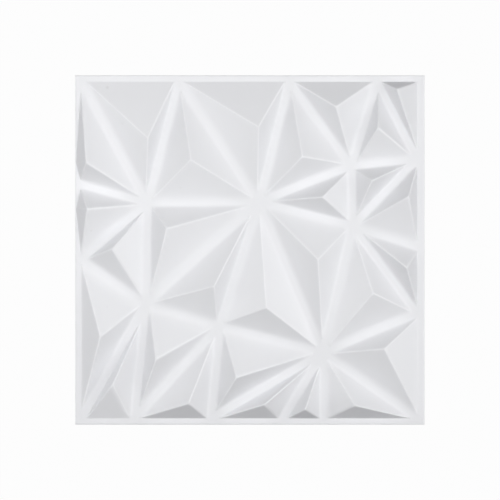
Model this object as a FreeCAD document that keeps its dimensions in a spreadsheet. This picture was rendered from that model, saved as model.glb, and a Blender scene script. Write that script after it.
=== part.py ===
import FreeCAD, Part
import os

import Sketcher

# Wall panel tile: one thin plastic sheet, vacuum formed into flat-sided peaks.
# The flat border and the flat bands between the peaks lie against the wall.
# Millimetres, origin at the middle of the back, the formed face up (+Z).

NODE = "wall_panel"

# Driving sizes of the sheet and of its forming.
SIZES = {
    "panel_side": 300,
    "sheet_thickness": 1,
    "relief_height": 16,
    "left_border": 5.2,
    "right_border": 6.2,
    "top_border": 5.5,
    "bottom_border": 5.4,
    "band_width": 7.3,
    "crease_flat": 0.6,
    "web_rim": 0.5,
}

# Side of the panel that the places below are drawn for.
LAYOUT_SIDE = {"layout_side": 300}

# Hubs where the bands meet, from the middle of the panel (x to the right, y up).
HUBS = {
    "left_hub": (-88.1, 40.5),
    "centre_hub": (7.9, 41.4),
    "upper_right_hub": (87.1, 72.3),
    "right_hub": (88.2, 20.8),
    "lower_left_hub": (-89.5, -46.4),
    "lower_middle_hub": (-26, -64.8),
    "lower_right_hub": (63, -88),
}

# Where bands run out on the border: the place along that side, from its middle.
TOP_ENDS = {"top_left_end": -61.1, "top_middle_end": 33.7, "top_right_end": 109.2}
BOTTOM_ENDS = {
    "bottom_left_end": -99.5,
    "bottom_middle_end": -33.5,
    "bottom_right_end": 28.3,
    "bottom_far_end": 63.5,
}
LEFT_ENDS = {"left_upper_end": 56.3, "left_lower_end": -7.8}
RIGHT_ENDS = {"right_upper_end": 78.1, "right_middle_end": 2.8, "right_lower_end": -54.4}

# Webs: beside two tips close to the left border the sheet slants out to a narrow rim.
WEBS = {"upper_web": "peak_b", "lower_web": "peak_c"}

# Peaks of each quarter: the points around each foot, in turn, and the place of the tip.
UPPER_LEFT_PEAKS = {
    "peak_a": (("top_left_corner", "top_left_end", "left_hub"), (-87.4, 95.8)),
    "peak_b": (("top_left_corner", "left_hub", "left_upper_end", "upper_web"), (-140.6, 75)),
    "peak_c": (("left_upper_end", "left_hub", "left_lower_end", "lower_web"), (-139.6, 35.2)),
    "peak_d": (("left_lower_end", "left_hub", "lower_left_hub"), (-118.3, 1.2)),
    "peak_e": (("top_left_end", "left_hub", "centre_hub"), (-50.7, 77.4)),
    "peak_f": (("top_left_end", "top_middle_end", "centre_hub"), (7.4, 105.5)),
    "peak_n": (("left_hub", "centre_hub", "lower_left_hub"), (-71.3, 18.4)),
}
UPPER_RIGHT_PEAKS = {
    "peak_g": (("top_middle_end", "centre_hub", "upper_right_hub"), (45, 80)),
    "peak_h": (("top_middle_end", "top_right_end", "upper_right_hub"), (73.7, 122.6)),
    "peak_i": (("top_right_end", "upper_right_hub", "right_upper_end"), (109.7, 105)),
    "peak_j": (("top_right_end", "top_right_corner", "right_upper_end"), (125.6, 138.2)),
    "peak_k": (("upper_right_hub", "right_upper_end", "right_hub"), (104.5, 59.4)),
    "peak_l": (("right_upper_end", "right_hub", "right_middle_end"), (136.2, 46)),
    "peak_m": (("centre_hub", "upper_right_hub", "right_hub"), (62.2, 45.3)),
}
LOWER_LEFT_PEAKS = {
    "peak_o": (("centre_hub", "lower_left_hub", "lower_middle_hub"), (-30.5, -31)),
    "peak_p": (("centre_hub", "lower_middle_hub", "lower_right_hub"), (14, -49.5)),
    "peak_t": (("left_lower_end", "lower_left_hub", "bottom_left_corner"), (-128.3, -74.2)),
    "peak_u": (("lower_left_hub", "bottom_left_corner", "bottom_left_end"), (-117.7, -115)),
    "peak_v": (("lower_left_hub", "lower_middle_hub", "bottom_left_end"), (-80.8, -93.7)),
    "peak_w": (("lower_middle_hub", "bottom_left_end", "bottom_middle_end"), (-52.6, -131.6)),
    "peak_x": (("lower_middle_hub", "lower_right_hub", "bottom_middle_end"), (-11.7, -109.4)),
}
LOWER_RIGHT_PEAKS = {
    "peak_q": (("centre_hub", "right_hub", "lower_right_hub"), (58.3, -8.2)),
    "peak_r": (("right_hub", "right_middle_end", "right_lower_end"), (134.4, -15.3)),
    "peak_s": (("right_hub", "right_lower_end", "lower_right_hub"), (105.6, -37)),
    "peak_y": (("lower_right_hub", "bottom_middle_end", "bottom_right_end"), (12.3, -132.4)),
    "peak_z": (("lower_right_hub", "bottom_right_end", "bottom_far_end"), (47.4, -136.6)),
    "peak_aa": (("lower_right_hub", "bottom_far_end", "bottom_right_corner"), (90, -133.4)),
    "peak_bb": (("lower_right_hub", "right_lower_end", "bottom_right_corner"), (115.3, -84.7)),
}

# The sheet is formed a quarter at a time, and the four are then joined.
QUARTERS = {
    "upper_left_quarter": UPPER_LEFT_PEAKS,
    "upper_right_quarter": UPPER_RIGHT_PEAKS,
    "lower_left_quarter": LOWER_LEFT_PEAKS,
    "lower_right_quarter": LOWER_RIGHT_PEAKS,
}

# How close two places have to be to count as one.
CLOSE = 0.01

# Names for what a sketch constraint holds on to: a line's points in their own order, and the sketch's origin.
LINE_POINTS = ("whole", "start", "end")
START = LINE_POINTS.index("start")
END = LINE_POINTS.index("end")
ORIGIN = (-START, START)

doc = FreeCAD.newDocument("WallPanelTile")
sheet = doc.addObject("Spreadsheet::Sheet", "Sizes")


def write_cells(values):
    """Add each value below the last, with its name as the alias."""
    for name, value in values.items():
        write_cells.row += 1
        cell = "B%d" % write_cells.row
        sheet.set("A%d" % write_cells.row, name)
        sheet.set(cell, str(value))
        sheet.setAlias(cell, name)


write_cells.row = 0


def write_places(places):
    """Add the two coordinates of each place."""
    for name, (across, up) in places.items():
        write_cells({name + "_across": across, name + "_up": up})


write_cells(SIZES)
write_cells(LAYOUT_SIDE)
write_places(HUBS)
for peaks in QUARTERS.values():
    write_places({name: tip for name, (points, tip) in peaks.items()})
for ends in (TOP_ENDS, BOTTOM_ENDS, LEFT_ENDS, RIGHT_ENDS):
    write_cells(ends)
doc.recompute()


def drawn(name):
    """Expression for a layout place, stretched to the panel's own side."""
    return "Sizes.%s * Sizes.panel_side / Sizes.layout_side" % name


# Sides of the formed field, its corners, and the rim that the webs reach.
FIELD_LEFT = "Sizes.left_border - Sizes.panel_side / 2"
FIELD_RIGHT = "Sizes.panel_side / 2 - Sizes.right_border"
FIELD_TOP = "Sizes.panel_side / 2 - Sizes.top_border"
FIELD_BOTTOM = "Sizes.bottom_border - Sizes.panel_side / 2"
FIELD_CORNERS = {
    "top_left_corner": (FIELD_LEFT, FIELD_TOP),
    "top_right_corner": (FIELD_RIGHT, FIELD_TOP),
    "bottom_left_corner": (FIELD_LEFT, FIELD_BOTTOM),
    "bottom_right_corner": (FIELD_RIGHT, FIELD_BOTTOM),
}
WEB_RIM = "Sizes.web_rim - Sizes.panel_side / 2"


def point_expressions():
    """Expressions for x and y of every point of the band layout."""
    points = dict(FIELD_CORNERS)
    for name in HUBS:
        points[name] = (drawn(name + "_across"), drawn(name + "_up"))
    for name in TOP_ENDS:
        points[name] = (drawn(name), FIELD_TOP)
    for name in BOTTOM_ENDS:
        points[name] = (drawn(name), FIELD_BOTTOM)
    for name in LEFT_ENDS:
        points[name] = (FIELD_LEFT, drawn(name))
    for name in RIGHT_ENDS:
        points[name] = (FIELD_RIGHT, drawn(name))
    for name, peak in WEBS.items():
        points[name] = (WEB_RIM, drawn(peak + "_up"))
    return points


POINTS = point_expressions()

# The points on each side of the field, where a peak's foot has no band beside it.
BORDER_POINTS = {
    "top": {*TOP_ENDS, "top_left_corner", "top_right_corner"},
    "bottom": {*BOTTOM_ENDS, "bottom_left_corner", "bottom_right_corner"},
    "left": {*LEFT_ENDS, *WEBS, "top_left_corner", "bottom_left_corner"},
    "right": {*RIGHT_ENDS, "top_right_corner", "bottom_right_corner"},
}


def value(expression):
    """Present value of an expression, in millimetres."""
    return float(sheet.evalExpression(expression))


def place(expressions):
    """Present place of a point given by two expressions."""
    return FreeCAD.Vector(value(expressions[0]), value(expressions[1]), 0)


def on_border(first, second):
    """True where the line between two layout points runs along the border."""
    return any({first, second} <= names for names in BORDER_POINTS.values())


def level_sketch(body, name, height):
    """Empty sketch of a body, level, at a height given by an expression."""
    ground = next(plane for plane in body.Origin.OriginFeatures if plane.Role == "XY_Plane")
    sketch = body.newObject("Sketcher::SketchObject", name)
    sketch.AttachmentSupport = [(ground, "")]
    sketch.MapMode = "FlatFace"
    sketch.setExpression("AttachmentOffset.Base.z", height)
    return sketch


def bind_length(sketch, constraint, expression):
    """Add a length to a sketch and bind it to an expression."""
    index = sketch.addConstraint(constraint)
    sketch.setExpression("Constraints[%d]" % index, expression)


def bind(sketch, kind, geometry, expression):
    """Dimension from the sketch's origin, bound to an expression."""
    bind_length(sketch, Sketcher.Constraint(kind, *ORIGIN, geometry, START, value(expression)), expression)


def bind_point(sketch, geometry, expressions):
    """Fix the start of a line, or a point, by its two coordinates."""
    bind(sketch, "DistanceX", geometry, expressions[0])
    bind(sketch, "DistanceY", geometry, expressions[1])


def draw_ring(sketch, corners, construction):
    """Closed ring of lines through the corners, joined end to start."""
    first = sketch.GeometryCount
    count = len(corners)
    for index in range(count):
        sketch.addGeometry(Part.LineSegment(corners[index], corners[(index + 1) % count]), construction)
    for index in range(count):
        following = first + (index + 1) % count
        sketch.addConstraint(Sketcher.Constraint("Coincident", first + index, END, following, START))


def flat_sheet(body):
    """The square sheet before forming."""
    sketch = level_sketch(body, body.Name + "_outline", "0")
    half = value("Sizes.panel_side / 2")
    corners = [FreeCAD.Vector(x * half, y * half, 0) for x, y in ((-1, -1), (1, -1), (1, 1), (-1, 1))]
    draw_ring(sketch, corners, False)
    for index, kind in enumerate(("Horizontal", "Vertical", "Horizontal", "Vertical")):
        sketch.addConstraint(Sketcher.Constraint(kind, index))
    bottom, right = 0, 1
    sketch.addConstraint(Sketcher.Constraint("Symmetric", bottom, START, right, END, *ORIGIN))
    for side in (bottom, right):
        bind_length(sketch, Sketcher.Constraint("Distance", side, 2 * half), "Sizes.panel_side")
    pad = body.newObject("PartDesign::Pad", body.Name + "_sheet")
    pad.Profile = sketch
    pad.setExpression("Length", "Sizes.sheet_thickness")


def inset_corners(corners, insets):
    """Corners of a ring with each of its sides moved in by its own inset."""
    count = len(corners)
    middle = sum(corners, FreeCAD.Vector()) / count
    lines = []
    for index in range(count):
        start = corners[index]
        along = (corners[(index + 1) % count] - start).normalize()
        inward = FreeCAD.Vector(-along.y, along.x, 0)
        if inward.dot(middle - start) < 0:
            inward = -inward
        lines.append((start + inward * insets[index], along))
    result = []
    for index in range(count):
        (start, along), (other, across) = lines[index - 1], lines[index]
        reach = (other - start).cross(across).z / along.cross(across).z
        result.append(start + along * reach)
    return result


def foot_sketch(body, name, points):
    """Foot of a peak: half a band in from the band lines around it, flush with the border."""
    sketch = level_sketch(body, name + "_foot", "Sizes.sheet_thickness")
    count = len(points)
    corners = [place(POINTS[point]) for point in points]
    flush = [on_border(points[index], points[(index + 1) % count]) for index in range(count)]
    half_band = value("Sizes.band_width / 2")
    draw_ring(sketch, corners, True)
    draw_ring(sketch, inset_corners(corners, [0 if side else half_band for side in flush]), False)
    for index in range(count):
        bind_point(sketch, index, POINTS[points[index]])
        sketch.addConstraint(Sketcher.Constraint("Parallel", index, count + index))
        if flush[index]:
            sketch.addConstraint(Sketcher.Constraint("PointOnObject", count + index, START, index))
        else:
            gap = Sketcher.Constraint("Distance", count + index, START, index, half_band)
            bind_length(sketch, gap, "Sizes.band_width / 2")
    return sketch


def tip_sketch(body, name):
    """Tip of a peak: one point at the top of the relief."""
    sketch = level_sketch(body, name + "_tip", "Sizes.sheet_thickness + Sizes.relief_height")
    tip = (drawn(name + "_across"), drawn(name + "_up"))
    sketch.addGeometry(Part.Point(place(tip)))
    bind_point(sketch, 0, tip)
    return sketch


def add_peak(body, name, points):
    """One flat-sided peak, drawn from its foot to its tip."""
    foot = foot_sketch(body, name, points)
    tip = tip_sketch(body, name)
    loft = body.newObject("PartDesign::AdditiveLoft", name)
    loft.Profile = foot
    loft.Sections = [tip]
    loft.Ruled = True


def is_crease(edge):
    """An edge that climbs from a foot to a tip, other than from the rim of a web."""
    box = edge.BoundBox
    on_front = box.ZMin > value("Sizes.sheet_thickness") - CLOSE
    climbs = box.ZLength > value("Sizes.relief_height / 2")
    return on_front and climbs and box.XMin > value(WEB_RIM) + CLOSE


def soften_creases(body):
    """Break the creases, which the sheet rounds over in forming."""
    doc.recompute()
    base = body.Tip
    creases = ["Edge%d" % (index + 1) for index, edge in enumerate(base.Shape.Edges) if is_crease(edge)]
    chamfer = body.newObject("PartDesign::Chamfer", body.Name + "_creases")
    chamfer.Base = (base, creases)
    chamfer.setExpression("Size", "Sizes.crease_flat")


def formed_quarter(name, peaks):
    """The whole sheet with the peaks of one quarter."""
    body = doc.addObject("PartDesign::Body", name)
    flat_sheet(body)
    for peak, (points, tip) in peaks.items():
        add_peak(body, peak, points)
    soften_creases(body)
    return body


form = doc.addObject("Part::MultiFuse", "front_form")
form.Shapes = [formed_quarter(name, peaks) for name, peaks in QUARTERS.items()]

# The back follows the front one sheet thickness below it.
back = doc.addObject("App::Link", "back_form")
back.LinkedObject = form
back.setExpression("Placement.Base.z", "-Sizes.sheet_thickness")
panel = doc.addObject("Part::Cut", NODE)
panel.Label = NODE
panel.Base = form
panel.Tool = back
doc.recompute()

for item in doc.Objects:
    if "Invalid" in item.State or "Error" in item.State:
        raise RuntimeError("failed: " + item.Name)
for item in (*form.Shapes, form, panel):
    if item.Shape.isNull() or not item.Shape.isValid() or len(item.Shape.Solids) != 1:
        raise RuntimeError("bad shape: " + item.Label)

os.makedirs("parts", exist_ok=True)
panel.Shape.exportStep("parts/%s.step" % panel.Label)
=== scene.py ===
import bpy
import bmesh
import math
import numpy as np
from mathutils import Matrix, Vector
from mathutils.geometry import delaunay_2d_cdt

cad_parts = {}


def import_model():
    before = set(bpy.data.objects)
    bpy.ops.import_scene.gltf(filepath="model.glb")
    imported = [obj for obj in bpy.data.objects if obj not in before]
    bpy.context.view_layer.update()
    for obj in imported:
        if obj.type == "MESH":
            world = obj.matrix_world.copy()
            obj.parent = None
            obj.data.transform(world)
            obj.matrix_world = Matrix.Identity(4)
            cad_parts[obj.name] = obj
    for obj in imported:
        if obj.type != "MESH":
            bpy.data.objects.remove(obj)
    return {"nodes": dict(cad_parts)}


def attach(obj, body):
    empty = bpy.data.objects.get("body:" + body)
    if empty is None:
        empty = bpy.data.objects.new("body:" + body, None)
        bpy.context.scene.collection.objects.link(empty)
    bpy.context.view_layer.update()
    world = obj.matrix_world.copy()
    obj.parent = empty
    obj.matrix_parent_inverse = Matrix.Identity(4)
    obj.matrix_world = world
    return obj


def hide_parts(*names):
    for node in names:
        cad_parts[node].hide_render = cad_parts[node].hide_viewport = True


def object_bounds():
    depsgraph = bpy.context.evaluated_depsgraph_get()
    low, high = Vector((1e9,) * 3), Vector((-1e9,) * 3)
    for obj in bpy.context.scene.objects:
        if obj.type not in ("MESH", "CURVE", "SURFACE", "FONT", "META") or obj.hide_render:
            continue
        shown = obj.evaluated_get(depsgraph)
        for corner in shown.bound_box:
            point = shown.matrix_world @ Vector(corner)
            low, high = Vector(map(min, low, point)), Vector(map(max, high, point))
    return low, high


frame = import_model()
CAD_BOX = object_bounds()

NODE = "wall_panel"
MM = 0.001

# Half the panel's side.
HALF_SIDE = CAD_BOX[1][0]

# How high the sheet's soft turn reaches where a facet leaves a band, and where it leaves the border.
BAND_FAIRING = 1.6 * MM
BORDER_FAIRING = 0.2 * MM

# Radius of a crease and how far its rounding may reach to each side, and the radius of the cut outline.
CREASE_RADIUS = 1.2 * MM
CREASE_REACH = 0.95 * MM
CUT_EDGE_RADIUS = 0.35 * MM

# A foot counts as on the border where its middle is this close to the outline.
BORDER_REACH = 8 * MM

# Reading the facets of the CAD sheet: upward part of a normal, angle within a facet, length of a foot, weld.
STEEPEST_Z = 0.05
FLATTEST_Z = 0.9995
SAME_FACET = math.radians(1.5)
SHORTEST_FOOT = 6 * MM
WELD = 0.002 * MM

# Mesh of the sheet, in millimetres: rings inside a facet (from its creases, from its foot), lines outside
# its foot on a band and on the border, lines inside the outline, and the step of points along a line.
RINGS = ((0.3, 0.5), (0.6, 1.2), (1.0, 2.2), (1.6, 3.6), (2.6, 5.6), (4.2, 8.4), (7.0, 13.0))
BAND_LINES = (0.5, 1.2, 2.1, 3.1)
BORDER_LINES = (0.25, 0.7)
RIM_LINES = (0.1, 0.35, 1.5)
POINT_STEP = 3.0

# Edges that turn more sharply than this stay sharp.
SHARP_TURN = math.radians(50)

# Camera, straight above the panel as the photograph looks at it.
PHOTO_WIDTH_PX = 500
PANEL_WIDTH_PX = 349.1
SENSOR_MM = 36.0
CAMERA_DISTANCE = 6.0

# Plastic: two tones that drift into each other, slightly cool.
PALER_TONE = (0.868, 0.873, 0.896, 1.0)
DARKER_TONE = (0.852, 0.857, 0.879, 1.0)
TONE_SCALE = 22
TONE_DETAIL = 3

# Painted highlight along the creases: the name of its share on the mesh, its paler tone, half its width, and
# the height above the flat at which it is in full.
CREASE_HIGHLIGHT_SHARE = "crease_highlight_share"
CREASE_HIGHLIGHT_TONE = (0.92, 0.925, 0.946, 1.0)
CREASE_LINE = 0.9 * MM
CREASE_START = 1.0 * MM

# Gloss of the satin face.
GLOSS_SCALE = 65
GLOSS_DETAIL = 4
ROUGHNESS = (0.33, 0.37)
SPECULAR = 0.55

# Fine grain of the sheet and the slight waves left by forming: scale, and height in metres.
GRAIN = (2600, 0.012 * MM)
WAVES = (75, 0.012 * MM)
RELIEF_DETAIL = 2

# Specks of dirt on the front: place and radius in millimetres, and strength.
DIRT_COLOUR = (0.36, 0.35, 0.33, 1.0)
SPECKS = {
    "top_speck": (-122.6, 139.5, 2.4, 0.13),
    "corner_speck": (-138.0, 132.5, 1.6, 0.05),
    "upper_speck": (-109.4, 108.5, 2.0, 0.04),
    "middle_speck": (-59.8, 53.4, 1.8, 0.04),
    "left_speck": (-136.3, 16.5, 1.5, 0.10),
    "lower_speck": (-122.6, -48.8, 1.2, 0.07),
}

# Floor and surroundings: the share of plain white that the eye sees on the floor, and the floor's own colour.
FLOOR_WHITE = 0.97
FLOOR_COLOUR = (0.44, 0.44, 0.47, 1.0)
WHITE = (1.0, 1.0, 1.0, 1.0)
FLOOR_SIDE = 8.0
FLOOR_GAP = 0.5 * MM

# Lamps: azimuth from +X towards +Y and elevation in degrees, distance and size in metres, power in watts.
LAMPS = {
    "left_low": (180, 20, 0.9, 0.5, 1.25),
    "upper_left": (135, 45, 0.9, 0.5, 0.2),
    "left": (180, 45, 0.9, 0.5, 1.4),
    "above_left": (135, 70, 0.9, 0.5, 1.8),
    "above_right": (45, 70, 0.9, 0.5, 0.55),
    "right_low": (10, 25, 1.6, 0.8, 3.15),
    "right_high": (0, 55, 1.6, 1.4, 11.5),
    "lower_right": (315, 55, 1.6, 1.2, 3.3),
}
WORLD_LIGHT = 0.0


class Facet:
    """One slanted side of a peak: its foot on the flat, the way up it, and its slope."""

    def __init__(self, ends, top, level):
        along = (ends[1] - ends[0]) / np.linalg.norm(ends[1] - ends[0])
        inward = np.array((-along[1], along[0]))
        run = inward @ (top[:2] - ends[0])
        self.inward = inward * np.sign(run)
        self.slope = (top[2] - level) / abs(run)
        self.start = self.inward @ ends[0]
        self.middle = (ends[0] + ends[1]) / 2
        self.on_border = np.abs(self.middle).max() > HALF_SIDE - BORDER_REACH

    def rise(self, places):
        """Height of the facet's plane above the flat."""
        return (places @ self.inward - self.start) * self.slope


def reached(seed, pool, alike):
    """Faces of the pool that can be reached from a seed, from neighbour to neighbour."""
    found = {seed}
    waiting = [seed]
    while waiting:
        for edge in waiting.pop().edges:
            for face in edge.link_faces:
                if face in pool and face not in found and alike(face):
                    found.add(face)
                    waiting.append(face)
    return found


def facet_of(faces, level):
    """Facet made of flat faces, or None where they have no long foot."""
    corners = sorted({vert for face in faces for vert in face.verts}, key=lambda vert: vert.index)
    feet = [np.array(vert.co[:2]) for vert in corners if vert.co.z < level + WELD]
    if len(feet) < 2:
        return None
    pairs = [(a, b) for a in feet for b in feet]
    ends = max(pairs, key=lambda pair: np.linalg.norm(pair[0] - pair[1]))
    if np.linalg.norm(ends[0] - ends[1]) < SHORTEST_FOOT:
        return None
    top = max(corners, key=lambda vert: vert.co.z)
    return Facet(ends, np.array(top.co), level)


def read_peaks():
    """The peaks of the CAD sheet, each a list of facets in turn, and the height of the flat front."""
    shape = bmesh.new()
    shape.from_mesh(frame["nodes"][NODE].data)
    bmesh.ops.remove_doubles(shape, verts=shape.verts, dist=WELD)
    shape.verts.index_update()
    shape.faces.index_update()
    level = max(vert.co.z for vert in shape.verts if vert.co.x > HALF_SIDE - WELD)
    slanted = {face for face in shape.faces if STEEPEST_Z < face.normal.z < FLATTEST_Z}
    peaks = []
    while slanted:
        peak = reached(min(slanted, key=lambda face: face.index), slanted, lambda face: True)
        slanted -= peak
        facets = []
        while peak:
            seed = max(peak, key=lambda face: (face.calc_area(), face.index))
            flat = reached(seed, peak, lambda face: face.normal.angle(seed.normal) < SAME_FACET)
            peak -= flat
            facets.append(facet_of(flat, level))
        peaks.append(in_turn([facet for facet in facets if facet]))
    shape.free()
    return peaks, level


def in_turn(facets):
    """Facets in order around their peak."""
    middle = sum(facet.middle for facet in facets) / len(facets)
    return sorted(facets, key=lambda facet: math.atan2(*(facet.middle - middle)))


def faired(rise, fairing):
    """Ramp that leaves the flat gently instead of at a corner."""
    return np.maximum(rise, 0) + np.maximum(fairing - np.abs(rise), 0) ** 2 / (4 * fairing)


def rounded(first, second, blend):
    """The lower of two ramps, with the crease between them rounded over."""
    lower = np.minimum(first, second)
    blend = np.minimum(blend, lower + WELD)
    return lower - np.maximum(blend - np.abs(first - second), 0) ** 2 / (4 * blend)


def peak_height(facets, places):
    """Height of one peak above the flat."""
    height = None
    for index, facet in enumerate(facets):
        ramp = faired(facet.rise(places), BORDER_FAIRING if facet.on_border else BAND_FAIRING)
        if height is None:
            height = ramp
            continue
        turns = [facet.slope * facet.inward - other.slope * other.inward for other in facets[:index]]
        turn = max(np.linalg.norm(each) for each in turns)
        height = rounded(height, ramp, turn * min(CREASE_RADIUS * turn / 2, CREASE_REACH))
    return np.maximum(height, 0)


def crease_highlight_share(facets, places):
    """Share of the painted crease highlight: how close each place is to a crease of a peak, other than one
    between two facets on the border.
    """
    rises = np.array([facet.rise(places) for facet in facets])
    slants = np.array([facet.slope * facet.inward for facet in facets])
    first, second = np.argsort(rises, axis=0)[:2]
    lower, upper = np.sort(rises, axis=0)[:2]
    aside = (upper - lower) / np.linalg.norm(slants[first] - slants[second], axis=1)
    border = np.array([facet.on_border for facet in facets])
    near = np.where(border[first] & border[second], 0, 1 - aside / CREASE_LINE)
    return np.clip(near, 0, 1) * np.clip(lower / CREASE_START, 0, 1)


def cut_edge(places):
    """Depth of the rounding along the sheet's cut outline."""
    inside = HALF_SIDE - np.abs(places).max(axis=1)
    short = np.clip(CUT_EDGE_RADIUS - inside, 0, CUT_EDGE_RADIUS)
    return CUT_EDGE_RADIUS - np.sqrt(CUT_EDGE_RADIUS ** 2 - short ** 2)


def line_crossing(first, second):
    """Where two lines cross, each given by its normal and its distance along it."""
    return np.linalg.solve(np.array((first[0], second[0])), np.array((first[1], second[1])))


def tip_of(facets):
    """Place where the facets of a peak meet."""
    rows = [(*(facet.slope * facet.inward), -1.0) for facet in facets]
    starts = [facet.slope * facet.start for facet in facets]
    return np.linalg.lstsq(np.array(rows), np.array(starts), rcond=None)[0][:2]


class Drawing:
    """Points, in millimetres, and lines that the sheet's mesh has to follow."""

    def __init__(self):
        self.points = []
        self.lines = []

    def add_line(self, start, end):
        """Straight line, with points along it, where it lies on the panel."""
        count = max(1, round(np.linalg.norm(end - start) / (POINT_STEP * MM)))
        spots = [start + (end - start) * step / count for step in range(count + 1)]
        spots = [spot for spot in spots if np.abs(spot).max() <= HALF_SIDE + WELD]
        first = len(self.points)
        self.points += [Vector(spot / MM) for spot in spots]
        self.lines += [(first + step, first + step + 1) for step in range(len(spots) - 1)]

    def add_ring(self, corners):
        """Closed ring of lines."""
        for index, corner in enumerate(corners):
            self.add_line(corners[index - 1], corner)


def facet_rings(corners):
    """Rings inside a facet, from its outline inwards; its first two corners are on its foot."""
    middle = sum(corners) / 3
    sides = []
    for index in range(3):
        along = corners[(index + 1) % 3] - corners[index]
        inward = np.array((-along[1], along[0])) / np.linalg.norm(along)
        inward = inward * np.sign(inward @ (middle - corners[index]))
        sides.append((inward, inward @ corners[index]))
    yield corners
    for crease, foot in RINGS:
        moved = [(sides[0][0], sides[0][1] + foot * MM)]
        moved += [(inward, start + crease * MM) for inward, start in sides[1:]]
        ring = [line_crossing(moved[index - 1], moved[index]) for index in range(3)]
        if any(inward @ corner < start - WELD for corner in ring for inward, start in moved):
            return
        yield ring


def draw_peak(drawing, facets):
    """Lines of one peak: rings in each facet and lines beside its foot."""
    tip = tip_of(facets)
    for index, facet in enumerate(facets):
        before = facets[index - 1]
        after = facets[(index + 1) % len(facets)]
        own = (facet.inward, facet.start)
        foot = [line_crossing(own, (side.inward, side.start)) for side in (before, after)]
        for ring in facet_rings(foot + [tip]):
            drawing.add_ring(ring)
        for gap in BORDER_LINES if facet.on_border else BAND_LINES:
            drawing.add_line(*(corner - facet.inward * gap * MM for corner in foot))


def draw_rim(drawing):
    """The panel's outline and the lines along its cut edge."""
    for gap in (0, *RIM_LINES):
        half = HALF_SIDE - gap * MM
        drawing.add_ring([np.array((x * half, y * half)) for x, y in ((-1, -1), (1, -1), (1, 1), (-1, 1))])


def shell(places, triangles, front, back):
    """Closed mesh of a sheet from its front and back heights."""
    count = len(places)
    points = [(x, y, z) for heights in (front, back) for (x, y), z in zip(places, heights)]
    faces = [tuple(face) for face in triangles]
    edges = {(face[index - 1], face[index]) for face in faces for index in range(3)}
    rim = [(b, a, a + count, b + count) for a, b in edges if (b, a) not in edges]
    faces += [tuple(corner + count for corner in reversed(face)) for face in triangles]
    mesh = bpy.data.meshes.new("formed_sheet")
    mesh.from_pydata(points, [], faces + rim)
    mesh.validate()
    return mesh


def formed_sheet(material):
    """The formed sheet: the CAD facets, faired into the flats and rounded on the creases."""
    peaks, level = read_peaks()
    drawing = Drawing()
    draw_rim(drawing)
    for facets in peaks:
        draw_peak(drawing, facets)
    flat = delaunay_2d_cdt(drawing.points, drawing.lines, [], 0, WELD / MM)
    places = np.array([point[:] for point in flat[0]]) * MM
    heights = sum(peak_height(facets, places) for facets in peaks)
    mesh = shell(places, flat[2], level + heights - cut_edge(places), heights)
    # Share of the painted highlight along the creases, kept on the mesh for the material.
    creases = sum(crease_highlight_share(facets, places) for facets in peaks)
    mesh.attributes.new(CREASE_HIGHLIGHT_SHARE, "FLOAT", "POINT").data.foreach_set("value", np.tile(creases, 2))
    mesh.polygons.foreach_set("use_smooth", [True] * len(mesh.polygons))
    mesh.set_sharp_from_angle(angle=SHARP_TURN)
    mesh.materials.append(material)
    piece = bpy.data.objects.new("formed_sheet", mesh)
    bpy.context.collection.objects.link(piece)
    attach(piece, "root")
    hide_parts(NODE)


def noise(nodes, links, place, scale, detail):
    """Even noise over a place, around a half."""
    texture = nodes.new("ShaderNodeTexNoise")
    texture.inputs["Scale"].default_value = scale
    texture.inputs["Detail"].default_value = detail
    links.new(place, texture.inputs["Vector"])
    return texture.outputs["Fac"]


def tone(nodes, links, place):
    """Colour of the plastic, drifting between its two tones."""
    ramp = nodes.new("ShaderNodeValToRGB")
    ramp.color_ramp.elements[0].color = DARKER_TONE
    ramp.color_ramp.elements[1].color = PALER_TONE
    links.new(noise(nodes, links, place, TONE_SCALE, TONE_DETAIL), ramp.inputs["Fac"])
    return ramp.outputs["Color"]


def painted_crease_highlight(nodes, links, colour):
    """Colour with a painted highlight along the creases, which makes them a little paler."""
    share = nodes.new("ShaderNodeAttribute")
    share.attribute_name = CREASE_HIGHLIGHT_SHARE
    mix = nodes.new("ShaderNodeMixRGB")
    mix.inputs["Color2"].default_value = CREASE_HIGHLIGHT_TONE
    links.new(share.outputs["Fac"], mix.inputs["Fac"])
    links.new(colour, mix.inputs["Color1"])
    return mix.outputs["Color"]


def speck(nodes, links, place, colour, across, up, radius, strength):
    """Colour with one speck of dirt on it."""
    level = nodes.new("ShaderNodeVectorMath")
    level.operation = "MULTIPLY"
    level.inputs[1].default_value = (1, 1, 0)
    links.new(place, level.inputs[0])
    distance = nodes.new("ShaderNodeVectorMath")
    distance.operation = "DISTANCE"
    distance.inputs[1].default_value = (across * MM, up * MM, 0)
    links.new(level.outputs["Vector"], distance.inputs[0])
    fade = nodes.new("ShaderNodeMapRange")
    fade.interpolation_type = "SMOOTHSTEP"
    fade.inputs["From Min"].default_value = 0
    fade.inputs["From Max"].default_value = radius * MM
    fade.inputs["To Min"].default_value = strength
    fade.inputs["To Max"].default_value = 0
    links.new(distance.outputs["Value"], fade.inputs["Value"])
    mix = nodes.new("ShaderNodeMixRGB")
    mix.inputs["Color2"].default_value = DIRT_COLOUR
    links.new(fade.outputs["Result"], mix.inputs["Fac"])
    links.new(colour, mix.inputs["Color1"])
    return mix.outputs["Color"]


def gloss(nodes, links, place):
    """Roughness of the satin face, which drifts a little."""
    drift = nodes.new("ShaderNodeMapRange")
    drift.inputs["To Min"].default_value = ROUGHNESS[0]
    drift.inputs["To Max"].default_value = ROUGHNESS[1]
    links.new(noise(nodes, links, place, GLOSS_SCALE, GLOSS_DETAIL), drift.inputs["Value"])
    return drift.outputs["Result"]


def relief(nodes, links, place):
    """Normal with the waves of forming and the sheet's grain on it."""
    normal = None
    for scale, height in (WAVES, GRAIN):
        bump = nodes.new("ShaderNodeBump")
        bump.inputs["Distance"].default_value = height
        links.new(noise(nodes, links, place, scale, RELIEF_DETAIL), bump.inputs["Height"])
        if normal:
            links.new(normal, bump.inputs["Normal"])
        normal = bump.outputs["Normal"]
    return normal


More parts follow.
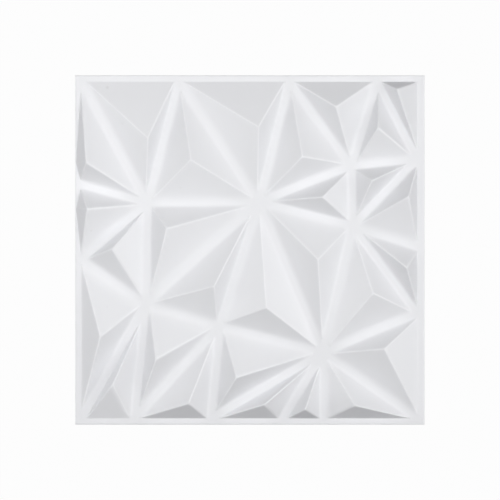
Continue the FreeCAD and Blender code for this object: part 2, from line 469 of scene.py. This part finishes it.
def sheet_material():
    """Satin white plastic."""
    material = bpy.data.materials.new("satin_sheet")
    material.use_nodes = True
    nodes, links = material.node_tree.nodes, material.node_tree.links
    shader = nodes["Principled BSDF"]
    shader.inputs["Specular IOR Level"].default_value = SPECULAR
    place = nodes.new("ShaderNodeTexCoord").outputs["Object"]
    # Base tone with the painted highlight along the creases on it.
    colour = painted_crease_highlight(nodes, links, tone(nodes, links, place))
    for across, up, radius, strength in SPECKS.values():
        colour = speck(nodes, links, place, colour, across, up, radius, strength)
    links.new(colour, shader.inputs["Base Color"])
    links.new(gloss(nodes, links, place), shader.inputs["Roughness"])
    links.new(relief(nodes, links, place), shader.inputs["Normal"])
    return material


def seen_share(nodes, links, share):
    """The given share for what the eye sees, straight or in a reflection, and nothing for other light."""
    path = nodes.new("ShaderNodeLightPath")
    seen = path.outputs["Is Camera Ray"]
    for other in ("Is Glossy Ray", "Is Transmission Ray"):
        either = nodes.new("ShaderNodeMath")
        either.operation = "MAXIMUM"
        links.new(seen, either.inputs[0])
        links.new(path.outputs[other], either.inputs[1])
        seen = either.outputs["Value"]
    part = nodes.new("ShaderNodeMath")
    part.operation = "MULTIPLY"
    part.inputs[1].default_value = share
    links.new(seen, part.inputs[0])
    return part.outputs["Value"]


def floor():
    """Plain pale floor, nearly white to the eye, with the panel's shadow on it."""
    bpy.ops.mesh.primitive_plane_add(size=FLOOR_SIDE, location=(0, 0, -FLOOR_GAP))
    plane = bpy.context.object
    plane.name = "floor"
    material = bpy.data.materials.new("pale_floor")
    material.use_nodes = True
    nodes, links = material.node_tree.nodes, material.node_tree.links
    nodes.remove(nodes["Principled BSDF"])
    pale = nodes.new("ShaderNodeBsdfDiffuse")
    pale.inputs["Color"].default_value = FLOOR_COLOUR
    white = nodes.new("ShaderNodeEmission")
    white.inputs["Color"].default_value = WHITE
    white.inputs["Strength"].default_value = 1.0
    mix = nodes.new("ShaderNodeMixShader")
    links.new(seen_share(nodes, links, FLOOR_WHITE), mix.inputs["Fac"])
    links.new(pale.outputs["BSDF"], mix.inputs[1])
    links.new(white.outputs["Emission"], mix.inputs[2])
    links.new(mix.outputs["Shader"], nodes["Material Output"].inputs["Surface"])
    plane.data.materials.append(material)


def lamps():
    """Soft lamps, each aimed at the middle of the panel."""
    for name, (azimuth, elevation, distance, size, power) in LAMPS.items():
        data = bpy.data.lights.new(name, "AREA")
        data.size = size
        data.energy = power
        lamp = bpy.data.objects.new(name, data)
        bpy.context.collection.objects.link(lamp)
        turn, lift = math.radians(azimuth), math.radians(elevation)
        lamp.location = distance * Vector((
            math.cos(lift) * math.cos(turn), math.cos(lift) * math.sin(turn), math.sin(lift)))
        lamp.rotation_euler = (-lamp.location).to_track_quat("-Z", "Y").to_euler()


def world():
    """White surroundings to the eye, with no light of their own."""
    studio = bpy.data.worlds.new("studio")
    bpy.context.scene.world = studio
    studio.use_nodes = True
    nodes, links = studio.node_tree.nodes, studio.node_tree.links
    dim = nodes["Background"]
    dim.inputs["Color"].default_value = WHITE
    dim.inputs["Strength"].default_value = WORLD_LIGHT
    white = nodes.new("ShaderNodeBackground")
    white.inputs["Color"].default_value = WHITE
    white.inputs["Strength"].default_value = 1.0
    mix = nodes.new("ShaderNodeMixShader")
    links.new(seen_share(nodes, links, 1.0), mix.inputs["Fac"])
    links.new(dim.outputs["Background"], mix.inputs[1])
    links.new(white.outputs["Background"], mix.inputs[2])
    links.new(mix.outputs["Shader"], nodes["World Output"].inputs["Surface"])


def camera():
    """Camera straight above, with the panel as wide as in the photograph."""
    data = bpy.data.cameras.new("camera")
    data.sensor_width = SENSOR_MM
    frame_width = 2 * HALF_SIDE * PHOTO_WIDTH_PX / PANEL_WIDTH_PX
    data.lens = SENSOR_MM * CAMERA_DISTANCE / frame_width
    eye = bpy.data.objects.new("camera", data)
    bpy.context.collection.objects.link(eye)
    eye.location = (0, 0, CAMERA_DISTANCE)
    bpy.context.scene.camera = eye


formed_sheet(sheet_material())
floor()
lamps()
world()
camera()
bpy.context.scene.view_settings.view_transform = "Standard"
